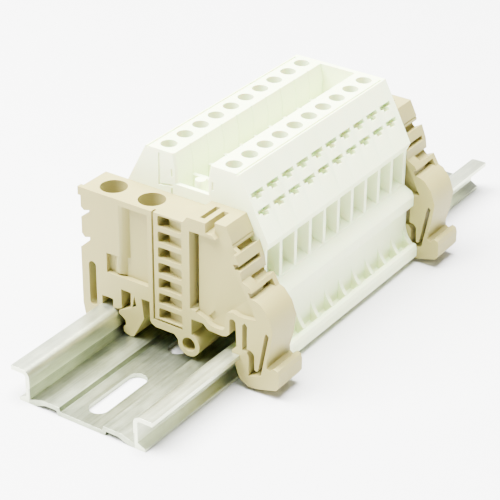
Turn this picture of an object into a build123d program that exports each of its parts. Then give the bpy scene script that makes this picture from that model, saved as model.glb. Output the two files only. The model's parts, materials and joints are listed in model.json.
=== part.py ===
"""Terminal block row on a mounting rail: ten screw terminals, an end cover and two end brackets.

Frame: X across the rail, +Y along the rail, +Z up. The origin lies in the plane of the rail's
underside, midway between the two outermost slots, which the pieces on the rail leave free.
"""
from build123d import *
from math import hypot
import os

os.makedirs("parts", exist_ok=True)

# Driving dimensions in millimetres
# Mounting rail
rail_length = 133.0
rail_width = 35.0
rail_height = 7.5
rail_wall = 1.0
web_inside = 25.8  # clear width between the two webs
lip_width = 31.4  # overall width of the rail's base
bend_radius = 1.7  # outside of the bend between web and flange
channel_width = 10.4  # lowered strip along the middle of the base
side_rise = 1.0  # height of the base's side strips above that strip
slot_width = 4.3
slot_length = 16.4
slot_pitch = 26.3
slot_count = 5
first_slot = 11.8  # from the front end of the rail to the centre of the first slot

# Row of pieces along the rail
front_free = 28.8  # bare rail in front of the front bracket
bracket_depth = 8.5
block_pitch = 5.45
block_count = 10
cover_thickness = 1.2
fit_gap = 0.06  # clearance between a clip and the rail

# Terminal housing, heights above the seat on the rail's flanges
block_height = 35.1
valley_width = 8.9  # at the top, between the two humps
valley_narrow = 7.6  # below the sloped upper part of its walls
valley_slope = 3.4  # height of that sloped part
valley_depth = 10.0
valley_sill = 6.7  # depth of the valley at a housing's closed side
post_diameter = 2.2  # post for a bridge's screw, in the middle of the valley
post_height = 4.4
crown_width = 23.0  # over both humps at the top
slope_width = 37.0  # over the lower edges of the marker slopes
slope_height = 21.6
side_width = 35.2  # over the side walls beside the wire entries
ledge_height = 11.0
belly_width = 40.2
belly_top = 8.9
belly_bottom = 6.5
waist_height = 5.4
foot_width = 43.2
foot_top = 2.7  # foot lip's crest below the seat
foot_drop = 7.2  # underside of the feet below the seat
foot_groove = 1.6  # depth of the groove behind the foot's lip
side_wall = 1.0  # closed side of a housing
skin = 1.3  # walls round the housing's cavities
valley_chamfer = 0.4  # along the edges of the valley's walls at the closed side
crown_groove = 0.4  # width and depth of the line along the crown's edges
crown_rim = 0.3  # left standing outside that line
foot_slit = 0.9
mark_slot_length = 4.2  # a marker slot is T-shaped
mark_slot_bar = 1.0
mark_stem_length = 1.9
mark_stem_width = 1.8  # with the bar
mark_slot_depth = 2.0
mark_rows = (5.0, 8.7)  # distance of each row of marker slots down the slope

# Screw clamps
clamp_spacing = 16.0  # between the two screws of a block
driver_hole = 3.5
screw_diameter = 2.5
head_diameter = 3.8
head_height = 2.0
head_slot = 0.7
screw_spare = 2.4  # shank left between the screw's head and a closed clamp
bar_height = 18.5  # underside of the current bar above the seat
bar_thickness = 1.2
bar_width = 2.4
cage_length = 4.2
cage_width = 4.0
cage_wall = 0.7
cage_nut = 2.3
wire_room = 4.3  # height of the wire space when the clamp is open
clamp_travel = 4.0
run_gap = 0.05  # running clearance of screw and cage

# End bracket, heights above the seat
bracket_left = 22.0
bracket_height = 26.0
bore_diameter = 5.8
bore_depth = 14.0
bore_back = 4.15  # from the bracket's front face to the bores' centres
bore_places = (-16.5, -6.8)
ladder_left = -2.4
ladder_width = 5.9
ladder_slot = 2.5
ladder_pitch = 3.57
ladder_count = 7
ladder_depth = 5.0
ladder_wall = 0.7  # depth of a cell at its right end
ladder_ledge = 1.6  # depth of a cell's sloping floor where its deep left end starts
ladder_deep = 0.3  # share of a cell's width that is deep
groove_width = 0.5
groove_depth = 1.2
eyelet_place = (5.0, -2.04)
eyelet_radius = 2.7
eyelet_bore = 3.2
slit_width = 1.15
panel_depth = 1.2
leg_reach = 25.4  # outer face of the spring leg
hook_reach = 27.0

# Places worked out from the driving dimensions
seat = rail_height
rail_front = -first_slot - (slot_count - 1) / 2 * slot_pitch
bracket_front = rail_front + front_free
row_front = bracket_front + bracket_depth
cover_front = row_front + block_count * block_pitch
rear_front = cover_front + cover_thickness
flange_tip = rail_width / 2
web_in = web_inside / 2
clamp_x = clamp_spacing / 2
clamp_y = (side_wall + block_pitch) / 2
bar_z = seat + bar_height
screw_z = bar_z + bar_thickness + run_gap
screw_room = cage_nut + clamp_travel + screw_spare  # from the current bar up to the screw's head
head_z = screw_z + screw_room
along = (0, 1, 0)


def across(y):
    """Plane across the rail at y: its x is the part's X and its y is the part's Z."""
    return Plane(origin=(0, y, 0), x_dir=(1, 0, 0), z_dir=(0, -1, 0))


def outline(points):
    """Closed straight-sided face through points, for use inside a sketch."""
    Polygon(*points, align=None)


def outline_cut(points):
    """Straight-sided opening through points, for use inside a sketch."""
    Polygon(*points, align=None, mode=Mode.SUBTRACT)


def both_sides(points):
    """Closed outline from its right half, listed from the centre line round to the centre line."""
    return points + [(-x, z) for x, z in reversed(points) if x > 0]


def box_xz(x0, x1, z0, z1):
    """Rectangle in a sketch across the rail, by its limits."""
    with Locations(((x0 + x1) / 2, (z0 + z1) / 2)):
        Rectangle(x1 - x0, z1 - z0)


def save(piece, name, x=0.0, y=0.0):
    """Label a finished piece, moved by x and y, and write its STEP file."""
    placed = piece.moved(Location((x, y, 0)))
    placed.label = name
    export_step(placed, f"parts/{name}.step")


# Mounting rail: extruded hat section with a stepped base and a row of slots
rail_ramp = 2.9  # width of the ramp between web and side strip
lip_edge = 0.6
rail_half = [
    (0, rail_wall),
    (channel_width / 2, rail_wall),
    (channel_width / 2 + 0.3, rail_wall + side_rise),
    (web_in - rail_ramp, rail_wall + side_rise),
    (web_in, rail_wall),
    (web_in, rail_height),
    (flange_tip, rail_height),
    (flange_tip, rail_height - rail_wall),
    (web_in + rail_wall, rail_height - rail_wall),
    (web_in + rail_wall, lip_edge + rail_wall),
    (lip_width / 2, lip_edge),
    (lip_width / 2, 0),
    (web_in - rail_ramp / 2, 0),
    (web_in - rail_ramp - rail_wall, side_rise),
    (channel_width / 2 + rail_wall, side_rise),
    (channel_width / 2 + rail_wall - 0.3, 0),
    (0, 0),
]

with BuildPart() as din_rail:
    with BuildSketch(across(rail_front)):
        outline(both_sides(rail_half))
    extrude(amount=rail_length, dir=along)
    lengthways = din_rail.edges().filter_by(Axis.Y)
    outer_bends = [
        e for e in lengthways if abs(abs(e.center().X) - web_in) < 0.01 and e.center().Z > rail_height - 0.01
    ]
    fillet(outer_bends, bend_radius)
    lengthways = din_rail.edges().filter_by(Axis.Y)
    inner_bends = [
        e
        for e in lengthways
        if abs(abs(e.center().X) - web_in - rail_wall) < 0.01 and e.center().Z > rail_height / 2
    ]
    fillet(inner_bends, bend_radius - rail_wall)
    with BuildSketch(Plane.XY):
        with Locations(*[(0, rail_front + first_slot + k * slot_pitch) for k in range(slot_count)]):
            SlotOverall(slot_length, slot_width, rotation=90)
    extrude(amount=rail_wall * 2, mode=Mode.SUBTRACT)
save(din_rail.part, "din_rail")


# Terminal housing outline, shared by the ten housings and the end cover
top = seat + block_height
crown = crown_width / 2
slope_x = slope_width / 2
slope_z = seat + slope_height
side_x = side_width / 2
foot_x = foot_width / 2
claw_x = flange_tip + fit_gap
claw_z = rail_height - rail_wall - fit_gap
nose = 1.3  # reach of a claw under the flange
foot_reach = foot_x - side_x  # from the side wall out to the foot's lip
foot_wall = foot_x - claw_x
waist_x = side_x + 0.2 * foot_reach
lip_top = seat - foot_top
groove_z = lip_top - foot_groove

lower_half = [
    (side_x, slope_z - 2.0),
    (side_x, seat + ledge_height),
    (belly_width / 2 - 0.6, seat + ledge_height - 1.0),
    (belly_width / 2, seat + belly_top),
    (belly_width / 2, seat + belly_bottom),
    (waist_x, seat + waist_height),
    (waist_x, groove_z + 0.3),
    (waist_x + 0.1 * foot_reach, groove_z),
    (foot_x - 0.48 * foot_reach, groove_z),
    (foot_x - 0.35 * foot_reach, lip_top - 0.2),
    (foot_x - 0.2 * foot_reach, lip_top),
    (foot_x - 0.06 * foot_reach, lip_top - 0.3),
    (foot_x, lip_top - 1.2),
    (foot_x, seat - foot_drop + 1.4),
    (foot_x - 0.3 * foot_wall, seat - foot_drop),
    (claw_x + 0.22 * foot_wall, seat - foot_drop),
    (claw_x - 0.1, seat - foot_drop + 1.2),
    (claw_x - nose - 0.3, claw_z - 1.0),
    (claw_x - nose, claw_z),
    (claw_x, claw_z),
    (claw_x, seat),
    (web_in + rail_wall, seat),
    (web_in + rail_wall - 1.0, seat + 0.8),
    (0, seat + 0.8),
]
valley_floor = top - valley_depth
sill_x = (valley_narrow + skin) / 2
valley_half = [
    (0, valley_floor),
    (valley_narrow / 2, valley_floor),
    (valley_narrow / 2, top - valley_slope),
    (valley_width / 2, top),
]
upper_half = [(crown, top), (slope_x, slope_z)]
housing_half = valley_half + upper_half + lower_half
cover_half = [(0, top)] + upper_half + lower_half

# Gusset on the closed side wall between waist and foot
gusset_top = (waist_x, seat + 2.6)
gusset_foot = (foot_x - 0.3 * foot_reach, lip_top - 0.1)
gusset_mid = (waist_x + 0.12 * foot_reach, seat - 0.7)
gusset_root = [(foot_x - 0.4 * foot_reach, groove_z - 0.4), (side_x + 0.1 * foot_reach, groove_z - 0.4)]


def gussets():
    """The pair of gussets below the belly, with a hollow outer edge."""
    for side in (1, -1):
        with BuildLine() as rim:
            arc = ThreePointArc(*[(side * x, z) for x, z in (gusset_top, gusset_mid, gusset_foot)])
            root = [(side * x, z) for x, z in gusset_root]
            Polyline(arc @ 1, *root, (side * (waist_x - 0.4), seat + 2.6), arc @ 0)
        make_face(rim.edges())


# Cavities of a housing, open towards the next block
hump_in = clamp_x - cage_length / 2 - run_gap * 4
hump_out = clamp_x + cage_length / 2 + run_gap * 4
hump_top = top - 2.0
cage_floor = bar_z - wire_room - cage_wall
entry_roof = slope_z - 1.9
entry_half = [
    (hump_out - 0.1, cage_floor + cage_wall),
    (side_x + 1.0, seat + ledge_height + 0.2),
    (side_x + 1.0, entry_roof),
    (hump_out - 0.1, entry_roof),
]
hollow_z = (seat + 0.8 + skin, seat + ledge_height - skin)
post_y = clamp_y - side_wall / 2 + 0.2
foot_slit_x = web_in + rail_wall + 0.9
foot_slit_top = seat + waist_height + 1.0
slope_run = hypot(slope_x - crown, top - slope_z)
slope_dir = ((slope_x - crown) / slope_run, (slope_z - top) / slope_run)

# Shallow relief on a housing's closed side
relief_depth = 0.3
relief_line = 0.45
relief_left = -clamp_x - 0.4
relief_right = -valley_narrow / 2 - 1.0
relief_low = top - 7.6
relief_notch = (top - 5.4, top - 3.6)  # lower and upper end of the short mark on each hump


def relief():
    """Moulded lines on the closed side, for use inside a sketch."""
    box_xz(relief_left, relief_left + relief_line, relief_low, top - 0.8)
    box_xz(relief_right - relief_line, relief_right, *relief_notch)
    box_xz(-relief_right, -relief_right + relief_line, *relief_notch)
    box_xz(relief_right - relief_line, relief_right, valley_floor, relief_low - 0.3)
    outline(
        [
            (relief_left, relief_low),
            (relief_right, relief_low + 0.6),
            (relief_right, relief_low + 0.6 - relief_line),
            (relief_left, relief_low - relief_line),
        ]
    )


def valley_edges(face):
    """Edges of a side face that run up the valley's walls."""
    raised = face.edges().filter_by(lambda e: e.center().Z > valley_floor + 0.1)
    return raised.filter_by(lambda e: abs(e.center().X) < crown / 2)


def housing(y0):
    """Terminal housing whose closed side lies at y0."""
    with BuildPart() as body:
        with BuildSketch(across(y0)):
            outline(both_sides(housing_half))
        extrude(amount=block_pitch, dir=along)
        with BuildSketch(across(y0)):
            gussets()
        extrude(amount=side_wall, dir=along)
        chamfer(valley_edges(body.faces().sort_by(Axis.Y)[0]), valley_chamfer)
        with BuildSketch(across(y0)):
            box_xz(-sill_x, sill_x, valley_floor - skin, top - valley_sill)
        extrude(amount=side_wall, dir=along)
        with BuildSketch(Plane.XY.offset(valley_floor - skin)):
            with Locations((0, y0 + post_y)):
                Circle(post_diameter / 2)
        extrude(amount=skin + post_height)
        with BuildSketch(across(y0 + side_wall)):
            for side in (1, -1):
                box_xz(*sorted((side * hump_in, side * hump_out)), cage_floor - 0.4, hump_top)
                outline([(side * x, z) for x, z in entry_half])
            box_xz(-clamp_x, clamp_x, bar_z - run_gap, bar_z + bar_thickness + run_gap)
            box_xz(-side_x + skin + 0.6, side_x - skin - 0.6, *hollow_z)
        extrude(amount=block_pitch, dir=along, mode=Mode.SUBTRACT)
        with BuildSketch(across(y0)):
            relief()
        extrude(amount=relief_depth, dir=along, mode=Mode.SUBTRACT)
        with BuildSketch(across(y0)):
            for side in (1, -1):
                line_x = side * (crown - crown_rim)
                box_xz(*sorted((line_x, line_x - side * crown_groove)), top - crown_groove, top)
        extrude(amount=block_pitch, dir=along, mode=Mode.SUBTRACT)
        with BuildSketch(Plane.XY.offset(hump_top)):
            with Locations((clamp_x, y0 + clamp_y), (-clamp_x, y0 + clamp_y)):
                Circle(driver_hole / 2)
        extrude(amount=top - hump_top, mode=Mode.SUBTRACT)
        with BuildSketch(across(y0)):
            box_xz(foot_slit_x, foot_slit_x + foot_slit, seat - 0.1, foot_slit_top)
        extrude(amount=block_pitch, dir=along, mode=Mode.SUBTRACT)
        for side in (1, -1):
            for row in mark_rows:
                x = side * (crown + slope_dir[0] * row)
                place = (x, y0 + block_pitch / 2 + 0.2, top + slope_dir[1] * row)
                facing = Plane(origin=place, x_dir=(0, 1, 0), z_dir=(-side * slope_dir[1], 0, slope_dir[0]))
                with BuildSketch(facing):
                    Rectangle(mark_slot_length, mark_slot_bar)
                    with Locations((0, (mark_slot_bar - mark_stem_width) / 2 * side)):
                        Rectangle(mark_stem_length, mark_stem_width)
                extrude(amount=-mark_slot_depth, mode=Mode.SUBTRACT)
    return body.part


first_housing = housing(row_front)
for k in range(block_count):
    save(first_housing, f"block_housing_{k + 1:02d}", y=k * block_pitch)

# End cover: thin plate that closes the last housing's open side
with BuildPart() as end_cover:
    with BuildSketch(across(cover_front)):
        outline(both_sides(cover_half))
        gussets()
    extrude(amount=cover_thickness, dir=along)
save(end_cover.part, "end_cover")

# Current bars: one flat bar in each housing, joining its two clamps
bar_length = clamp_spacing + cage_length
with BuildPart() as current_bars:
    with BuildSketch(Plane.XY.offset(bar_z)):
        with Locations(*[(0, row_front + k * block_pitch + clamp_y) for k in range(block_count)]):
            Rectangle(bar_length, bar_width)
    extrude(amount=bar_thickness)
save(current_bars.part, "current_bars")


window = wire_room + bar_thickness + 2 * run_gap  # height of a cage's opening


# Clamp cage round the end of a current bar, open along X for the wire
with BuildPart() as clamp_cage:
    with BuildSketch(Plane.XY.offset(cage_floor)):
        Rectangle(cage_length, cage_width)
    extrude(amount=cage_wall + window + cage_nut)
    with BuildSketch(Plane.YZ.offset(-cage_length / 2)):
        with Locations((0, cage_floor + cage_wall)):
            Rectangle(cage_width - 2 * cage_wall, window, align=(Align.CENTER, Align.MIN))
    extrude(amount=cage_length, mode=Mode.SUBTRACT)
    with BuildSketch(Plane.XY.offset(cage_floor + cage_wall + window)):
        Circle(screw_diameter / 2 + run_gap)
    extrude(amount=cage_nut, mode=Mode.SUBTRACT)

# Slotted clamp screw standing on a current bar
with BuildPart() as clamp_screw:
    with BuildSketch(Plane.XY.offset(screw_z)):
        Circle(screw_diameter / 2)
    extrude(amount=screw_room)
    with BuildSketch(Plane.XY.offset(head_z)):
        Circle(head_diameter / 2)
    extrude(amount=head_height)
    with BuildSketch(Plane.XY.offset(head_z + head_height)):
        Rectangle(head_diameter * 2, head_slot)
    extrude(amount=-head_height / 2, mode=Mode.SUBTRACT)

for k in range(block_count):
    y = row_front + k * block_pitch + clamp_y
    for side, word in ((-1, "left"), (1, "right")):
        save(clamp_cage.part, f"clamp_cage_{word}_{k + 1:02d}", side * clamp_x, y)
        save(clamp_screw.part, f"clamp_screw_{word}_{k + 1:02d}", side * clamp_x, y)


# End bracket outline, as stretches from the top left corner clockwise
head = seat + bracket_height
ridge_rise = 1.4  # height of the ridges above the bracket's flat top
rail_face = flange_tip + fit_gap
pad_z = seat + fit_gap
left_x = -bracket_left
eyelet_x = eyelet_place[0]
eyelet_z = seat + eyelet_place[1]
leg_x = leg_reach
hook_x = hook_reach
claw_left = web_in - fit_gap

marker_top = [
    (left_x, head),
    (3.8, head),
    (4.9, head + ridge_rise),
    (13.3, head + ridge_rise),
]
marker_teeth = [
    (15.0, head - 2.0),
    (14.8, head - 2.2),
    (15.1, head - 2.5),
    (15.1, head - 3.0),
    (13.7, head - 3.8),
    (14.7, head - 4.8),
    (16.5, head - 3.7),
    (17.7, head - 6.8),
    (18.0, head - 9.0),
    (17.3, head - 9.7),
    (18.2, head - 10.6),
    (19.9, head - 9.8),
    (21.3, head - 12.2),
    (22.5, head - 12.7),
]
spring_leg = [
    (leg_x - 1.1, seat + 11.2),
    (leg_x, seat + 8.2),
    (leg_x - 0.6, seat + 3.5),
    (leg_x - 1.4, seat + 0.5),
    (leg_x - 1.3, seat - 0.7),
    (leg_x - 0.6, seat - 1.2),
    (hook_x - 1.2, seat - 0.3),
    (hook_x - 0.3, seat - 0.6),
    (hook_x, seat - 1.6),
    (hook_x, seat - 4.2),
    (hook_x - 0.6, seat - 5.2),
    (leg_x - 3.3, seat - 6.4),
]
right_claw = [
    (rail_face + 2.3, seat - 6.7),
    (rail_face + 0.5, seat - 5.8),
    (rail_face - 0.3, seat - 4.8),
    (rail_face - 1.0, seat - 2.5),
    (rail_face - 0.9, claw_z),
    (rail_face, claw_z),
    (rail_face, pad_z),
    (rail_face - 1.8, pad_z),
    (rail_face - 1.8, seat + 0.7),
    (rail_face - 0.7, seat + 1.7),
    (rail_face - 1.0, seat + 7.3),
    (rail_face - 1.5, seat + 7.8),
    (rail_face - 2.2, seat + 7.7),
    (rail_face - 2.5, seat + 7.3),
]
underside = [
    (rail_face - 2.5, seat + 4.0),
    (rail_face - 3.2, seat + 3.3),
    (rail_face - 4.3, seat + 3.0),
    (eyelet_x + 4.9, seat + 3.2),
    (eyelet_x + 3.6, seat + 4.3),
    (eyelet_x + 0.7, seat + 4.3),
    (eyelet_x + 0.7, eyelet_z),
    (eyelet_x - eyelet_radius + 0.1, eyelet_z),
    (eyelet_x - eyelet_radius - 0.1, eyelet_z + 0.4),
    (eyelet_x - 3.6, seat - 0.8),
    (ladder_left - 0.9, seat - 0.8),
    (ladder_left - 2.0, seat - 0.3),
    (ladder_left - 2.4, seat + 0.6),
    (ladder_left - 2.4, seat + 4.7),
    (-claw_left + 5.9, seat + 4.7),
]
latch = [
    (-claw_left + 6.5, seat),
    (-claw_left + 3.7, seat - 5.2),
    (-claw_left + 2.9, seat - 5.4),
    (-claw_left + 1.8, seat - 5.2),
    (-claw_left + 1.1, seat - 4.8),
    (-claw_left + 1.1, seat - 3.7),
    (-claw_left + 1.7, seat - 3.0),
    (-claw_left + 1.7, seat - 2.1),
    (-claw_left + 0.9, seat - 1.4),
    (-claw_left, seat - 0.9),
    (-claw_left, seat),
    (-claw_left + 3.1, seat + 1.5),
    (-claw_left + 3.2, seat + 5.1),
    (-claw_left + 0.7, seat + 5.2),
    (-claw_left + 0.7, seat + 0.6),
    (-claw_left - 0.3, pad_z + 0.1),
    (-claw_left - 1.5, pad_z),
    (-claw_left - 1.5, seat + 2.1),
    (-rail_face + 0.3, seat + 2.1),
    (-rail_face + 0.3, pad_z),
    (-rail_face, pad_z),
]
left_claw = [
    (-rail_face, claw_z),
    (-rail_face + 1.0, claw_z),
    (-rail_face + 1.1, seat - 2.4),
    (-rail_face, seat - 5.0),
    (-rail_face - 1.0, seat - 5.9),
    (left_x + 2.0, seat - 5.9),
    (left_x + 0.9, seat - 5.4),
    (left_x + 0.1, seat - 4.0),
    (left_x - 0.4, seat - 1.4),
]
left_notches = [
    (left_x - 0.4, head - 14.0),
    (left_x + 2.1, head - 11.7),
    (left_x + 2.1, head - 11.0),
    (left_x + 0.8, head - 11.4),
    (left_x, head - 10.6),
    (left_x, head - 6.8),
    (left_x + 2.2, head - 5.3),
    (left_x + 2.2, head - 4.7),
    (left_x + 0.8, head - 5.1),
    (left_x, head - 4.5),
]
right_stretches = marker_top + marker_teeth + spring_leg + right_claw
bracket_outline = right_stretches + underside + latch + left_claw + left_notches

# Slits that make the spring leg of an end bracket
slit_x = rail_face + 0.6
lever_slit = [
    (slit_x, seat + 7.3),
    (slit_x + slit_width / 2, seat + 7.9),
    (slit_x + slit_width, seat + 7.3),
    (slit_x + slit_width, seat + 2.1),
    (slit_x + slit_width + 1.1, seat + 1.9),
    (slit_x + slit_width + 1.8, seat + 1.2),
    (slit_x + slit_width + 1.9, seat - 2.1),
    (slit_x + slit_width + 2.3, seat - 2.4),
    (slit_x + slit_width + 2.7, seat - 2.1),
    (leg_x - 1.9, seat + 6.6),
    (leg_x - 1.5, seat + 7.3),
    (leg_x - 0.9, seat + 6.7),
    (leg_x - 2.7, seat - 3.1),
    (slit_x + 1.6, seat - 4.1),
    (slit_x + 1.6, seat + 0.5),
    (slit_x + 1.1, seat + 1.3),
    (slit_x, seat + 1.5),
]

# Slits across the ridges on an end bracket's top
ridge_slit_depth = 2.2
closed_slit_x = 7.5
closed_slit_width = 1.1
closed_slit_run = (1.5, 7.0)  # start and end behind the front face
open_slit_x = 10.0
open_slit_width = 1.4
open_slit_run = (0.0, 6.3)
open_slit_right = open_slit_x + open_slit_width / 2

# Recesses of an end bracket's front face
well_left = eyelet_x + 0.4
well_right = well_left + 1.5
well_top = head - 1.5
well_floor = seat + 6.7
well_depth = 6.5
panel_right = [
    (open_slit_right + 1.0, well_top),
    (open_slit_right, head + ridge_rise - ridge_slit_depth),
    (open_slit_right, head + 2.0),
    (rail_face, head + 2.0),
    (rail_face - 1.5, head - 3.6),
    (rail_face - 2.4, head - 5.2),
    (rail_face + 1.8, seat + 13.6),
    (rail_face + 3.9, seat + 9.5),
    (rail_face + 1.3, seat + 9.0),
    (rail_face - 0.2, seat + 9.0),
    (rail_face - 1.6, seat + 9.4),
    (rail_face - 2.7, seat + 9.1),
    (rail_face - 3.4, seat + 8.4),
    (rail_face - 3.6, seat + 7.0),
    (rail_face - 3.7, seat + 4.9),
    (rail_face - 4.2, seat + 4.4),
    (eyelet_x + 6.6, seat + 4.3),
    (eyelet_x + 5.0, seat + 4.6),
    (eyelet_x + 4.1, seat + 5.5),
    (eyelet_x + 2.9, seat + 6.0),
    (well_right, seat + 6.3),
    (well_right, well_top),
]
peg_recess = (10.5, seat + 6.2)  # small slanting recess in the floor of the right panel
peg_size = (2.2, 1.3)
peg_lean = 50.0
stud_x = -12.4
stud_radius = 2.3
stud_step = 0.35
stud_low = seat + 12.7
pocket_low = seat + 8.1
pocket_left = stud_x - stud_radius - 1.0
pocket_right = ladder_left - 2.6
pocket_high = head - 1.3
claw_slit_width = 1.9
claw_slit_length = 10.6
claw_slit_x = left_x + 1.5 + claw_slit_width / 2
claw_slit_z = seat + 4.1
latch_slit = [(-claw_left + 4.1, seat + 4.7), (-claw_left + 3.5, seat + 1.8), (-claw_left + 4.6, seat + 2.3)]
tooth_slots = [
    [(17.1, head - 5.4), (15.9, head - 5.6), (16.4, head - 6.7), (17.9, head - 6.8)],
    [(20.8, head - 10.6), (19.5, head - 10.9), (20.0, head - 12.0), (21.5, head - 12.2)],
]
tooth_sockets = [(16.2, head - 6.3), (19.8, head - 11.5)]  # deeper ends of those slots
socket_size = (2.4, 1.0)
socket_start = 4.8
tooth_ribs = [
    ([(15.1, head - 2.8), (13.7, head - 3.8), (14.7, head - 4.8), (16.5, head - 3.7)], 2.2),
    ([(17.9, head - 8.8), (17.3, head - 9.7), (18.2, head - 10.6), (19.9, head - 9.8)], 2.9),
]
tooth_lean = 30.0
tooth_back = 1.3
rung_round = 0.5
tab_reach = 0.7
tab_height = 1.9
tab_thickness = 1.2


def ladder_cells(y0):
    """The ladder's cells: a sloping floor from the right, and a deep hole at the left end."""
    with BuildPart() as cells:
        with BuildSketch(across(y0)):
            places = [head - 0.4 - ladder_slot / 2 - k * ladder_pitch for k in range(ladder_count)]
            with Locations(*[(ladder_left + ladder_width / 2, z) for z in places]):
                RectangleRounded(ladder_width, ladder_slot, rung_round)
        extrude(amount=ladder_depth, dir=along)
        with BuildSketch(Plane.XY):
            outline(
                [
                    (ladder_left, y0),
                    (ladder_left + ladder_width, y0),
                    (ladder_left + ladder_width, y0 + ladder_wall),
                    (ladder_left + ladder_width * ladder_deep, y0 + ladder_ledge),
                    (ladder_left + ladder_width * ladder_deep, y0 + ladder_depth),
                    (ladder_left, y0 + ladder_depth),
                ]
            )
        extrude(amount=head, mode=Mode.INTERSECT)
    return cells.part


def end_bracket(y0):
    """One end bracket whose front face lies at y0."""
    with BuildPart() as body:
        with BuildSketch(across(y0)):
            outline(bracket_outline)
            with Locations((eyelet_x, eyelet_z)):
                Circle(eyelet_radius)
            with Locations((eyelet_x, eyelet_z)):
                Circle(eyelet_bore / 2, mode=Mode.SUBTRACT)
            outline_cut(lever_slit)
            outline_cut(latch_slit)
            with Locations((claw_slit_x, claw_slit_z)):
                SlotOverall(claw_slit_length, claw_slit_width, rotation=90, mode=Mode.SUBTRACT)
        extrude(amount=bracket_depth, dir=along)
        for rib, depth in tooth_ribs:
            with BuildSketch(across(y0)):
                outline(rib)
            extrude(amount=depth, dir=along)
        with BuildSketch(across(y0)):
            for slot in tooth_slots:
                outline(slot)
        extrude(amount=bracket_depth - tooth_back, dir=along, mode=Mode.SUBTRACT)
        with BuildSketch(across(y0 + socket_start)):
            for x, z in tooth_sockets:
                with Locations(Location((x, z, 0), (0, 0, tooth_lean))):
                    Rectangle(*socket_size)
        extrude(amount=bracket_depth - tooth_back - socket_start, dir=along, mode=Mode.SUBTRACT)
        for x, width, (start, end) in (
            (closed_slit_x, closed_slit_width, closed_slit_run),
            (open_slit_x, open_slit_width, open_slit_run),
        ):
            with BuildSketch(across(y0 + start)):
                with Locations((x, head + ridge_rise)):
                    Rectangle(width, 2 * ridge_slit_depth)
            extrude(amount=end - start, dir=along, mode=Mode.SUBTRACT)
        with BuildSketch(across(y0)):
            outline(panel_right)
            box_xz(pocket_left, pocket_right, pocket_low, pocket_high)
        extrude(amount=panel_depth, dir=along, mode=Mode.SUBTRACT)
        with BuildSketch(across(y0)):
            box_xz(well_left, well_right, well_floor, well_top)
        extrude(amount=well_depth, dir=along, mode=Mode.SUBTRACT)
        with BuildSketch(across(y0)):
            box_xz(ladder_left - 1.5, ladder_left - 1.5 + groove_width, seat + 0.9, head)
            box_xz(ladder_left - 1.5, eyelet_x - 1.5, seat + 0.9, seat + 0.9 + groove_width)
        extrude(amount=groove_depth, dir=along, mode=Mode.SUBTRACT)
        add(ladder_cells(y0), mode=Mode.SUBTRACT)
        with BuildSketch(Plane.XY.offset(stud_low)):
            with Locations((stud_x, y0 + stud_radius)):
                Circle(stud_radius)
            with Locations(((pocket_left + stud_x) / 2, y0 + panel_depth / 2)):
                Rectangle(stud_x - pocket_left, panel_depth)
        extrude(amount=pocket_high - stud_low)
        with BuildSketch(Plane.XY.offset(pocket_low + 0.5)):
            with Locations((stud_x - stud_step, y0 + stud_radius)):
                Circle(stud_radius - stud_step)
        extrude(amount=stud_low - pocket_low - 0.5)
        with BuildSketch(across(y0 + panel_depth)):
            with Locations(Location((*peg_recess, 0), (0, 0, peg_lean))):
                Rectangle(*peg_size)
        extrude(amount=relief_depth, dir=along, mode=Mode.SUBTRACT)
        with BuildSketch(Plane.XY.offset(head)):
            with Locations(*[(x, y0 + bore_back) for x in bore_places]):
                Circle(bore_diameter / 2)
        extrude(amount=-bore_depth, mode=Mode.SUBTRACT)
        with BuildSketch(across(y0)):
            box_xz(left_x - tab_reach, left_x, head - tab_height, head)
        extrude(amount=tab_thickness, dir=along)
    return body.part


front_bracket = end_bracket(bracket_front)
save(front_bracket, "front_end_bracket")
save(front_bracket, "rear_end_bracket", y=rear_front - bracket_front)
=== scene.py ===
# %% [markdown]
# # A row of screw terminals on a mounting rail
# Ten white terminal housings and an end cover sit side by side on a slotted aluminium rail, and a
# beige bracket at each end clamps them together. The solids come finished from the CAD frame in
# metres, so this script never moves them. It gives the moulded pieces their rounded edges and the
# screws their threads, paints every piece with node materials, and sets up the studio.

import json
from math import pi, radians

import bmesh
import bpy
from mathutils import Matrix, Vector

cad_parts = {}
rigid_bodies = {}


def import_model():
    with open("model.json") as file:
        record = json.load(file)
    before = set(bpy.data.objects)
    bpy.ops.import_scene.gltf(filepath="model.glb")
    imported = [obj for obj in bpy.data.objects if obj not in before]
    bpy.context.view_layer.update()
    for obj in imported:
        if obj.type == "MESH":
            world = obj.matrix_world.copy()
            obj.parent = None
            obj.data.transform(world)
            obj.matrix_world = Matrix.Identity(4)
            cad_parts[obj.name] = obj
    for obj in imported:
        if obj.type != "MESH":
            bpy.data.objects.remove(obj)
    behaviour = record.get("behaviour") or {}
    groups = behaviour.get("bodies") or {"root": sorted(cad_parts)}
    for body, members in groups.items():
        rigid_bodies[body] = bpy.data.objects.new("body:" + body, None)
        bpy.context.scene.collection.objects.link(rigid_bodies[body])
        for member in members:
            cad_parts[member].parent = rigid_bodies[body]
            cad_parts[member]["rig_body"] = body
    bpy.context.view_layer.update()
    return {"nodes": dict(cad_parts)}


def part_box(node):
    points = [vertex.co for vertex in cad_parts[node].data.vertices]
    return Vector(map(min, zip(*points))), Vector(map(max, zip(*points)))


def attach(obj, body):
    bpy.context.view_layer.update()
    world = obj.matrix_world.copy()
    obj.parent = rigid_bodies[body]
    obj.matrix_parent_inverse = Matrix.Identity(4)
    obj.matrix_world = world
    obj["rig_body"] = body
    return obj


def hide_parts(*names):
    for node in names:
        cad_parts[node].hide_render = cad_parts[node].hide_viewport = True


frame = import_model()
nodes = frame["nodes"]

# %% [markdown]
# ## Sizes read from the frame
# Every place and distance that a pattern needs is taken from the solids, so the patterns stay in
# step with the pieces. The distance between two neighbouring housings, for example, is the pitch
# at which their tint changes.

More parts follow.
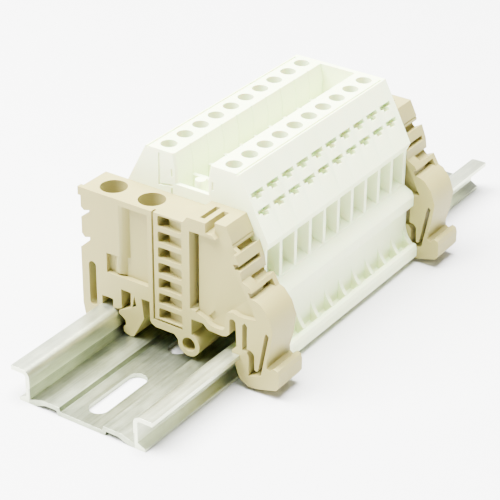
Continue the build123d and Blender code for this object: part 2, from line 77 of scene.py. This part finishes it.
# %% Measure the solids
housing_names = sorted(name for name in nodes if name.startswith("block_housing_"))
screw_names = sorted(name for name in nodes if name.startswith("clamp_screw_"))
cage_names = sorted(name for name in nodes if name.startswith("clamp_cage_"))
bracket_names = ["front_end_bracket", "rear_end_bracket"]
first_low, first_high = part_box(housing_names[0])
row_front = first_low.y
row_top = first_high.z
block_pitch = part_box(housing_names[1])[0].y - row_front
rail_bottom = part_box("din_rail")[0].z
print("housings:", len(housing_names), "pitch in mm:", round(block_pitch * 1000, 3))

# %% [markdown]
# ## Arithmetic on material sockets
# A pattern is easier to read as a formula than as a list of Math nodes. This class wraps one
# output of a node, and Python's operators on it add the Math nodes. Its node method adds a node of
# any kind: the settings are made first, and then the sockets get their values or links.


# %% A socket that can be calculated with
class Field:
    """One output of a tree's node. Arithmetic on it adds Math nodes to the same tree."""

    def __init__(self, tree, output=None):
        self.tree = tree
        self.output = output

    def node(self, kind, settings, inputs, result=0):
        """Adds a node of that kind, and returns one of its outputs, by place or by name."""
        made = self.tree.nodes.new(kind)
        for name, value in settings.items():
            if name == "stops":
                set_stops(made.color_ramp, value)
            else:
                setattr(made, name, value)
        for key, value in inputs.items():
            if isinstance(value, Field):
                self.tree.links.new(value.output, made.inputs[key])
            else:
                made.inputs[key].default_value = value
        return Field(self.tree, made.outputs[result])

    def math(self, operation, first, second=0.0):
        """Adds a Math node for two values, or for the first alone where it needs just one."""
        return self.node("ShaderNodeMath", {"operation": operation}, {0: first, 1: second})

    def __add__(self, other):
        return self.math("ADD", self, other)

    __radd__ = __add__

    def __sub__(self, other):
        return self.math("SUBTRACT", self, other)

    def __rsub__(self, other):
        return self.math("SUBTRACT", other, self)

    def __mul__(self, other):
        return self.math("MULTIPLY", self, other)

    __rmul__ = __mul__

    def __truediv__(self, other):
        return self.math("DIVIDE", self, other)

    def __abs__(self):
        return self.math("ABSOLUTE", self)

    def floor(self):
        """The whole number below the value."""
        return self.math("FLOOR", self)

    def beyond(self, limit):
        """1 where the value is greater than the limit, and 0 elsewhere."""
        return self.math("GREATER_THAN", self, limit)


def set_stops(ramp, stops):
    """Gives a colour ramp its stops, each a position and a grey value."""
    while len(ramp.elements) < len(stops):
        ramp.elements.new(0.5)
    for element, (place, grey) in zip(ramp.elements, stops):
        element.position = place
        element.color = (grey, grey, grey, 1)


# %% Materials start from one shader
def new_material(name, **constants):
    """A material with one Principled shader, and the values that are the same all over it."""
    material = bpy.data.materials.new(name)
    material.use_nodes = True
    shader = material.node_tree.nodes["Principled BSDF"]
    for socket, value in constants.items():
        shader.inputs[socket.replace("_", " ")].default_value = value
    return material, shader, Field(material.node_tree)


def feed(shader, socket, field):
    """Links a field to one socket of the shader."""
    field.tree.links.new(field.output, shader.inputs[socket])


def report(material):
    """Prints how many nodes a finished material has."""
    print(material.name, "nodes:", len(material.node_tree.nodes))


# %% Patterns in the object's own coordinates
def places(field, scale=(1, 1, 1)):
    """Object coordinates in metres, multiplied by a scale along each axis."""
    here = field.node("ShaderNodeTexCoord", {}, {}, result="Object")
    return field.node("ShaderNodeMapping", {}, {"Vector": here, "Scale": scale})


def along(field, vector, axis):
    """The X, Y or Z of a vector."""
    return field.node("ShaderNodeSeparateXYZ", {}, {"Vector": vector}, result=axis)


def facing(field, axis):
    """How far the surface faces along an axis of the object, from -1 to 1."""
    return along(field, field.node("ShaderNodeTexCoord", {}, {}, result="Normal"), axis)


def grain(field, size, detail=3.0, stretch=(1, 1, 1), roughness=0.5):
    """Noise between 0 and 1 whose lumps have about that size in metres, longer where stretched."""
    values = {"Scale": 1.0, "Detail": detail, "Roughness": roughness}
    values["Vector"] = places(field, tuple(1 / (size * factor) for factor in stretch))
    return field.node("ShaderNodeTexNoise", {}, values)


def ramp(field, value, *stops):
    """Value passed through a curve of grey stops."""
    return field.node("ShaderNodeValToRGB", {"stops": stops}, {"Fac": value})


# %% From patterns to colour and relief
def blend_colours(field, amount, first, second):
    """Colour that goes from the first to the second as amount goes from 0 to 1."""
    # A Mix node has sockets of the same names for numbers, vectors and colours, so the factor, the
    # two colours and the mixed colour are given by their places.
    inputs = {0: amount, 6: (*first, 1), 7: (*second, 1)}
    return field.node("ShaderNodeMix", {"data_type": "RGBA"}, inputs, result=2)


def bump(field, height, strength, distance):
    """Normal that follows a height field, whose full height is the distance in metres."""
    values = {"Height": height, "Strength": strength, "Distance": distance}
    return field.node("ShaderNodeBump", {}, values)


# %% [markdown]
# ## Extruded aluminium
# The rail is pressed through a die, so fine bright and dark lines run along its whole length, and
# handling leaves it slightly clouded. Noise that is stretched a few hundred times along Y gives
# the die lines, and on the sawn ends the lines run across. A second noise, nearly round, gives the
# clouds, and both change the roughness too, because an extruded surface shows more in its
# reflections than in its colour. The floor of the channel is painted darker than the flanges, as
# painted shade in the hollow, and the flanges are finely speckled.

# %% Where the rail was sawn, and the floor of its channel
aluminium, shader, field = new_material("extruded_aluminium", Metallic=1.0)
channel_height = 0.0035
channel_half_width = 0.0132
place = places(field)
aside = abs(along(field, place, "X"))
height = along(field, place, "Z") - rail_bottom
# The channel mask marks the floor of the rail's channel, whose base colour gets painted shade.
channel = (1 - height.beyond(channel_height)) * (1 - aside.beyond(channel_half_width))
cut_end = abs(facing(field, "Y")).beyond(0.9)

# %% Aluminium for the rail
die_lines = grain(field, size=0.00035, detail=4, stretch=(1, 260, 1))
saw_marks = grain(field, size=0.00022, detail=2, stretch=(14, 1, 1))
lines = die_lines * (1 - cut_end) + saw_marks * cut_end
bands = grain(field, size=0.0024, detail=2, stretch=(1, 90, 1))
clouds = grain(field, size=0.004, detail=6, stretch=(1, 2.5, 1), roughness=0.65)
scuffs = grain(field, size=0.0005, detail=2, stretch=(5, 0.6, 5))
scratches = ramp(field, scuffs, (0.66, 0), (0.74, 1))
speckle = grain(field, size=0.0004, detail=2) * (1 - channel * 0.6)
dark_metal = (0.20, 0.23, 0.15)
bright_metal = (0.90, 0.95, 0.72)
# Taking the channel mask away darkens the channel floor's base colour: painted shade in the
# hollow.
shade = lines * 0.3 + bands * 0.1 + clouds * 0.6 + 0.12 - channel * 0.44
dullness = 0.18 + lines * 0.16 + clouds * 0.16 + scratches * 0.08 + speckle * 0.12
relief = lines * 0.8 + scratches * 0.3 + clouds * 0.5 + speckle * 1.4
feed(shader, "Base Color", blend_colours(field, shade, dark_metal, bright_metal))
feed(shader, "Roughness", dullness)
feed(shader, "Normal", bump(field, relief, strength=0.40, distance=0.00005))
report(aluminium)

# %% [markdown]
# ## Moulded plastic
# Both plastics are injection moulded polyamide. The mould leaves a very fine even grain, and the
# plastic is a little cloudy where it filled the mould last. The end brackets are beige and the
# housings a greenish white that lets some light in, which a small subsurface weight gives. Each
# housing comes from another shot of the mould, so its tint differs from its neighbour's: the
# place along the row, cut into steps of one pitch, picks a random number for each. The faces that
# look back along the row also show the faint rings that the mould's ejector pins leave.


# %% Rings left by the ejector pins
def pin_rings(field, spacing, radius):
    """Height of a fine ring round each point of a square grid, on the faces that look along +Y."""

    def vector_math(operation, first, second=(0, 0, 0), result="Vector"):
        """One step of work on vectors."""
        inputs = {0: first, 1: second}
        return field.node("ShaderNodeVectorMath", {"operation": operation}, inputs, result)

    cell = vector_math("FRACTION", places(field, (1 / spacing,) * 3))
    offset = vector_math("SUBTRACT", cell, (0.5, 0.5, 0.5))
    flat = vector_math("MULTIPLY", offset, (1, 0, 1))
    distance = vector_math("LENGTH", flat, result="Value")
    edge = radius / spacing
    half_line = 0.012
    ring = ramp(field, distance, (edge - half_line, 0), (edge, 1), (edge + half_line, 0))
    return ring * facing(field, "Y").beyond(0.9)


# %% Beige for the end brackets
soft_gloss = {"Specular_IOR_Level": 0.3, "Subsurface_Weight": 0.05, "Subsurface_Scale": 0.0012}
beige, shader, field = new_material("beige_polyamide", **soft_gloss)
flow = grain(field, size=0.009, detail=3, stretch=(1, 0.7, 2.2))
pores = grain(field, size=0.00028, detail=2)
handling = grain(field, size=0.0022, detail=5, roughness=0.7)
marks = ramp(field, handling, (0.60, 0), (0.72, 1))
rings = pin_rings(field, spacing=0.0125, radius=0.0013)
deep_beige = (0.275, 0.241, 0.080)
pale_beige = (0.32, 0.281, 0.096)
feed(shader, "Base Color", blend_colours(field, flow, deep_beige, pale_beige))
feed(shader, "Roughness", 0.42 + flow * 0.10 + marks * 0.06)
relief = pores + marks * 0.4 + rings
feed(shader, "Normal", bump(field, relief, strength=0.25, distance=0.00006))
report(beige)

# %% Greenish white for the housings
milky = {"Subsurface_Weight": 0.15, "Subsurface_Scale": 0.002}
white, shader, field = new_material("white_polyamide", **milky)
flow = grain(field, size=0.010, detail=3, stretch=(1, 0.6, 2.0))
pores = grain(field, size=0.00028, detail=2)
rings = pin_rings(field, spacing=0.0110, radius=0.0011)
shot = ((along(field, places(field), "Y") - row_front) / block_pitch).floor()
tint = field.node("ShaderNodeTexWhiteNoise", {"noise_dimensions": "1D"}, {"W": shot})
green_white = (0.83, 0.93, 0.54)
pale_white = (0.87, 0.96, 0.61)
shade = flow * 0.6 + tint * 0.4
feed(shader, "Base Color", blend_colours(field, shade, green_white, pale_white))
feed(shader, "Roughness", 0.36 + flow * 0.10)
feed(shader, "Normal", bump(field, pores + rings, strength=0.18, distance=0.00005))
report(white)

# %% [markdown]
# ## Plated metal
# The screws and cages are zinc-plated steel, which is bright with a faint crystalline mottle. The
# current bars are tinned brass, greyer and softer, with the brass showing through where the
# clamps have rubbed. A cell pattern suits the mottle, and noise the rubbed places.

# %% Zinc for the screws and cages
zinc, shader, field = new_material("zinc_plating", Metallic=1.0)
crystal_size = 0.0005
crystals = {"Vector": places(field, (1 / crystal_size,) * 3), "Scale": 1.0}
cells = field.node("ShaderNodeTexVoronoi", {"feature": "F1"}, crystals)
dull = grain(field, size=0.0015, detail=3)
grey_zinc = (0.56, 0.57, 0.56)
bright_zinc = (0.78, 0.79, 0.78)
feed(shader, "Base Color", blend_colours(field, dull, grey_zinc, bright_zinc))
feed(shader, "Roughness", 0.26 + dull * 0.16)
feed(shader, "Normal", bump(field, cells, strength=0.12, distance=0.00004))
report(zinc)

# %% Tin for the current bars
tin, shader, field = new_material("tinned_brass", Metallic=1.0)
rolled = grain(field, size=0.0004, detail=3, stretch=(60, 1, 1))
worn = ramp(field, grain(field, size=0.003, detail=4), (0.52, 0), (0.66, 1))
tinned = (0.74, 0.72, 0.66)
bare_brass = (0.76, 0.62, 0.36)
feed(shader, "Base Color", blend_colours(field, worn, tinned, bare_brass))
feed(shader, "Roughness", 0.30 + rolled * 0.16)
feed(shader, "Normal", bump(field, rolled, strength=0.2, distance=0.00003))
report(tin)

# %% [markdown]
# ## Rounded edges
# No moulded edge is knife sharp, and tumbling takes the edge off the metal parts too. The solids
# have sharp edges, so each gets a welded copy whose edges are rounded by a Bevel modifier, and the
# copy stands for the CAD node. Where two faces meet at less than 30 degrees they are parts of one
# curve, such as the outside of a spring leg, so they are shaded smoothly across. The ten housings
# are the same, so one is rounded and its mesh is repeated, and so are the twenty cages.

# %% Weld a solid's triangles
weld_distance = 0.000002
flat_angle = radians(1)
smooth_angle = radians(30)


def welded_mesh(node):
    """Mesh of a CAD node with its doubled points merged and its flat faces joined."""
    mesh = nodes[node].data.copy()
    mesh.materials.clear()
    work = bmesh.new()
    work.from_mesh(mesh)
    bmesh.ops.remove_doubles(work, verts=work.verts, dist=weld_distance)
    bmesh.ops.dissolve_limit(work, angle_limit=flat_angle, verts=work.verts, edges=work.edges)
    work.to_mesh(mesh)
    work.free()
    mesh.shade_smooth()
    mesh.set_sharp_from_angle(angle=smooth_angle)
    return mesh


# %% Round its edges
sharp_angle = radians(35)


def plain_mesh(carrier):
    """Mesh that an object's modifiers make, as new data. The object itself is removed."""
    bpy.context.scene.collection.objects.link(carrier)
    bpy.context.view_layer.update()
    finished = carrier.evaluated_get(bpy.context.evaluated_depsgraph_get())
    mesh = bpy.data.meshes.new_from_object(finished)
    bpy.data.objects.remove(carrier)
    return mesh


def rounded_mesh(node, radius):
    """Mesh of a CAD node with its sharp edges rounded to about that radius."""
    carrier = bpy.data.objects.new("scratch", welded_mesh(node))
    rounding = carrier.modifiers.new("Rounded edges", "BEVEL")
    rounding.width = radius
    rounding.segments = 2
    rounding.limit_method = "ANGLE"
    rounding.angle_limit = sharp_angle
    rounding.use_clamp_overlap = True
    rounding.harden_normals = True
    return plain_mesh(carrier)


# %% Round one piece, or one of several that are alike
def stand_in(name, mesh, node, material):
    """Shows a mesh in place of a CAD node, on the node's body and with a material."""
    mesh.materials.clear()
    mesh.materials.append(material)
    piece = bpy.data.objects.new(name, mesh)
    bpy.context.scene.collection.objects.link(piece)
    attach(piece, nodes[node]["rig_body"])
    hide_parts(node)


def rounded_set(names, radius, material):
    """Rounded stand-ins for nodes that are alike, all from the first one's mesh."""
    shared = rounded_mesh(names[0], radius)
    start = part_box(names[0])[0]
    for node in names:
        mesh = shared.copy()
        mesh.transform(Matrix.Translation(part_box(node)[0] - start))
        stand_in("rounded_" + node, mesh, node, material)
    print(len(names), "like", names[0], "faces each:", len(shared.polygons))


# %% The rail, brackets, housings, cover and cages
rounded_set(["din_rail"], 0.00016, aluminium)
for node in bracket_names:
    rounded_set([node], 0.00022, beige)
rounded_set(housing_names, 0.0001, white)
rounded_set(["end_cover"], 0.00018, white)
rounded_set(cage_names, 0.00012, zinc)

# %% The current bars stay as they are
bar_finish = nodes["current_bars"].data.materials
bar_finish.clear()
bar_finish.append(tin)

# %% [markdown]
# ## Threaded clamp screws
# Each clamp is closed by a slotted screw that turns in the cage's thread. The solids are plain
# cylinders, so Geometry Nodes build the real form once, from named sizes: a core, a thread that is
# a small triangle swept along a helix, and a head with a chamfer and a driver slot. The same tree
# makes all twenty, each at the place that its input gives.


# %% The three forms of a slotted screw
def raised(field, shape, height):
    """Shape moved up by a height."""
    lift = field.node("ShaderNodeCombineXYZ", {}, {"Z": height})
    return field.node("GeometryNodeTransform", {}, {"Geometry": shape, "Translation": lift})


def shank(field, given, radius):
    """Plain round core, standing on the ground."""
    core = {"Vertices": 24, "Radius": radius, "Depth": given["Length"]}
    return raised(field, field.node("GeometryNodeMeshCylinder", {}, core), given["Length"] * 0.5)


def thread(field, given, radius):
    """Triangle swept along a helix round the core."""
    run = given["Length"] - given["Pitch"]
    path = {"Resolution": 16, "Rotations": run / given["Pitch"], "Height": run}
    path.update({"Start Radius": radius, "End Radius": radius})
    helix = field.node("GeometryNodeCurveSpiral", {}, path)
    level = field.node("GeometryNodeSetCurveNormal", {"mode": "Z_UP"}, {"Curve": helix})
    triangle = {"Resolution": 3, "Radius": given["Thread Depth"]}
    ridge = field.node("GeometryNodeCurvePrimitiveCircle", {}, triangle)
    sweep = {"Curve": level, "Profile Curve": ridge, "Fill Caps": True}
    return raised(field, field.node("GeometryNodeCurveToMesh", {}, sweep), given["Pitch"] * 0.5)


def head(field, given):
    """Drum on top of the shank, with its upper rim drawn in and a driver slot cut across."""
    blank = {"Vertices": 32, "Side Segments": 6}
    blank.update({"Radius": given["Head Radius"], "Depth": given["Head Height"]})
    drum = field.node("GeometryNodeMeshCylinder", {}, blank)
    here = field.node("GeometryNodeInputPosition", {}, {})
    rim = along(field, here, "Z").beyond(given["Head Height"] * 0.49)
    drawn_in = {0: here, 1: (0.88, 0.88, 1)}
    narrower = field.node("ShaderNodeVectorMath", {"operation": "MULTIPLY"}, drawn_in)
    moved_rim = {"Geometry": drum, "Selection": rim, "Position": narrower}
    chamfered = field.node("GeometryNodeSetPosition", {}, moved_rim)
    sides = {"X": given["Head Radius"] * 3, "Y": given["Slot Width"], "Z": given["Slot Depth"] * 2}
    notch_size = field.node("ShaderNodeCombineXYZ", {}, sides)
    notch = field.node("GeometryNodeMeshCube", {}, {"Size": notch_size})
    slotted = {"Mesh 1": chamfered, "Mesh 2": raised(field, notch, given["Head Height"] * 0.5)}
    cut = field.node("GeometryNodeMeshBoolean", {"operation": "DIFFERENCE"}, slotted)
    return raised(field, cut, given["Length"] + given["Head Height"] * 0.5)


# %% A Geometry Nodes tree for the whole screw
def screw_tree():
    """Tree with named inputs that builds one slotted, threaded screw standing on its place."""
    tree = bpy.data.node_groups.new("slotted_screw", "GeometryNodeTree")
    tree.interface.new_socket("Place", in_out="INPUT", socket_type="NodeSocketVector")
    shank_names = ("Radius", "Thread Depth", "Pitch", "Length")
    head_names = ("Head Radius", "Head Height", "Slot Width", "Slot Depth")
    for name in shank_names + head_names:
        tree.interface.new_socket(name, in_out="INPUT", socket_type="NodeSocketFloat")
    tree.interface.new_socket("Metal", in_out="INPUT", socket_type="NodeSocketMaterial")
    tree.interface.new_socket("Screw", in_out="OUTPUT", socket_type="NodeSocketGeometry")
    start = tree.nodes.new("NodeGroupInput")
    given = {socket.name: Field(tree, socket) for socket in start.outputs if socket.name}
    field = Field(tree)
    core = given["Radius"] - given["Thread Depth"]
    join = tree.nodes.new("GeometryNodeJoinGeometry")
    for form in (shank(field, given, core), thread(field, given, core), head(field, given)):
        tree.links.new(form.output, join.inputs[0])
    joined = {"Geometry": Field(tree, join.outputs[0]), "Translation": given["Place"]}
    placed = field.node("GeometryNodeTransform", {}, joined)
    real = {"Geometry": field.node("GeometryNodeRealizeInstances", {}, {"Geometry": placed})}
    real["Material"] = given["Metal"]
    finished = field.node("GeometryNodeSetMaterial", {}, real)
    end = tree.nodes.new("NodeGroupOutput")
    tree.links.new(finished.output, end.inputs["Screw"])
    return tree


slotted_screw = screw_tree()
print("screw tree nodes:", len(slotted_screw.nodes))


# %% Build the twenty screws
def grown(name, tree, values):
    """Plain mesh that a Geometry Nodes tree makes from the values of its inputs."""
    carrier = bpy.data.objects.new(name, bpy.data.meshes.new(name))
    maker = carrier.modifiers.new(name, "NODES")
    maker.node_group = tree
    for item in tree.interface.items_tree:
        if item.in_out == "INPUT":
            maker[item.identifier] = values[item.name]
    return plain_mesh(carrier)


low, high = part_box(screw_names[0])
head_height = 0.002
screw_sizes = {
    "Radius": 0.00125,
    "Thread Depth": 0.0002,
    "Pitch": 0.0005,
    "Length": high.z - low.z - head_height,
    "Head Radius": (high.x - low.x) / 2,
    "Head Height": head_height,
    "Slot Width": 0.0007,
    "Slot Depth": 0.001,
    "Metal": zinc,
}
for node in screw_names:
    low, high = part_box(node)
    place = ((low.x + high.x) / 2, (low.y + high.y) / 2, low.z)
    mesh = grown("grown_" + node, slotted_screw, screw_sizes | {"Place": place})
    stand_in("threaded_" + node, mesh, node, zinc)
print("screws:", len(screw_names), "faces each:", len(mesh.polygons))

# %% [markdown]
# ## The studio
# The photograph has a white ground and a very soft light from above and the left, which leaves
# the faces on the right a little darker. A large pale floor, a bright even surrounding and three
# wide lamps give that. The camera stands where a fit to the rail's edges put it.

# %% Floor
floor_size = 3.0
floor_mesh = bpy.data.meshes.new("floor")
half = floor_size / 2
corners = [(x * half, y * half, rail_bottom) for x, y in ((-1, -1), (1, -1), (1, 1), (-1, 1))]
floor_mesh.from_pydata(corners, [], [(0, 1, 2, 3)])
floor = bpy.data.objects.new("floor", floor_mesh)
bpy.context.scene.collection.objects.link(floor)
paper, shader, field = new_material("pale_paper")
grey_paper = (0.62, 0.62, 0.62)
pale_paper = (0.65, 0.65, 0.65)
feed(shader, "Base Color", blend_colours(field, grain(field, size=0.02), grey_paper, pale_paper))
feed(shader, "Roughness", 0.8 + grain(field, size=0.01) * 0.1)
floor_mesh.materials.append(paper)
report(paper)


# %% Lights
def lamp(name, place, size, power):
    """Wide lamp, with its width in metres and power in watts, that faces the row's middle."""
    data = bpy.data.lights.new(name, "AREA")
    data.shape = "DISK"
    data.size = size
    data.energy = power
    holder = bpy.data.objects.new(name, data)
    holder.location = place
    aim = Vector((0, 0, row_top / 2)) - holder.location
    holder.rotation_euler = aim.to_track_quat("-Z", "Y").to_euler()
    bpy.context.scene.collection.objects.link(holder)
    print(name, "distance in mm:", round(aim.length * 1000))


lamp("upper_left_lamp", place=(-0.38, -0.25, 0.70), size=0.5, power=48.0)
lamp("overhead_lamp", place=(0.0, 0.0, 0.85), size=0.6, power=58.0)
lamp("rear_panel", place=(-0.62, 0.90, 0.62), size=1.1, power=6.0)
world = bpy.data.worlds.new("studio")
world.use_nodes = True
surrounding = world.node_tree.nodes["Background"]
surrounding.inputs["Color"].default_value = (1, 1, 1, 1)
surrounding.inputs["Strength"].default_value = 0.5
bpy.context.scene.world = world

# %% Camera
camera_place = Vector((0.191549, -0.287992, 0.205676))
turn = radians(34.238)
tilt = radians(29.590)
lean = radians(0.426)
camera_data = bpy.data.cameras.new("camera")
camera_data.sensor_width = 36
camera_data.lens = 131.458
camera_data.shift_x = 0.0012
camera_data.shift_y = 0.0008
camera_data.clip_start = 0.01
camera = bpy.data.objects.new("camera", camera_data)
looking = Matrix.Rotation(turn, 4, "Z") @ Matrix.Rotation(pi / 2 - tilt, 4, "X")
camera.matrix_world = Matrix.Translation(camera_place) @ looking @ Matrix.Rotation(lean, 4, "Z")
bpy.context.scene.collection.objects.link(camera)
bpy.context.scene.camera = camera
print("camera distance in mm:", round(camera_place.length * 1000))

bpy.context.view_layer.update()
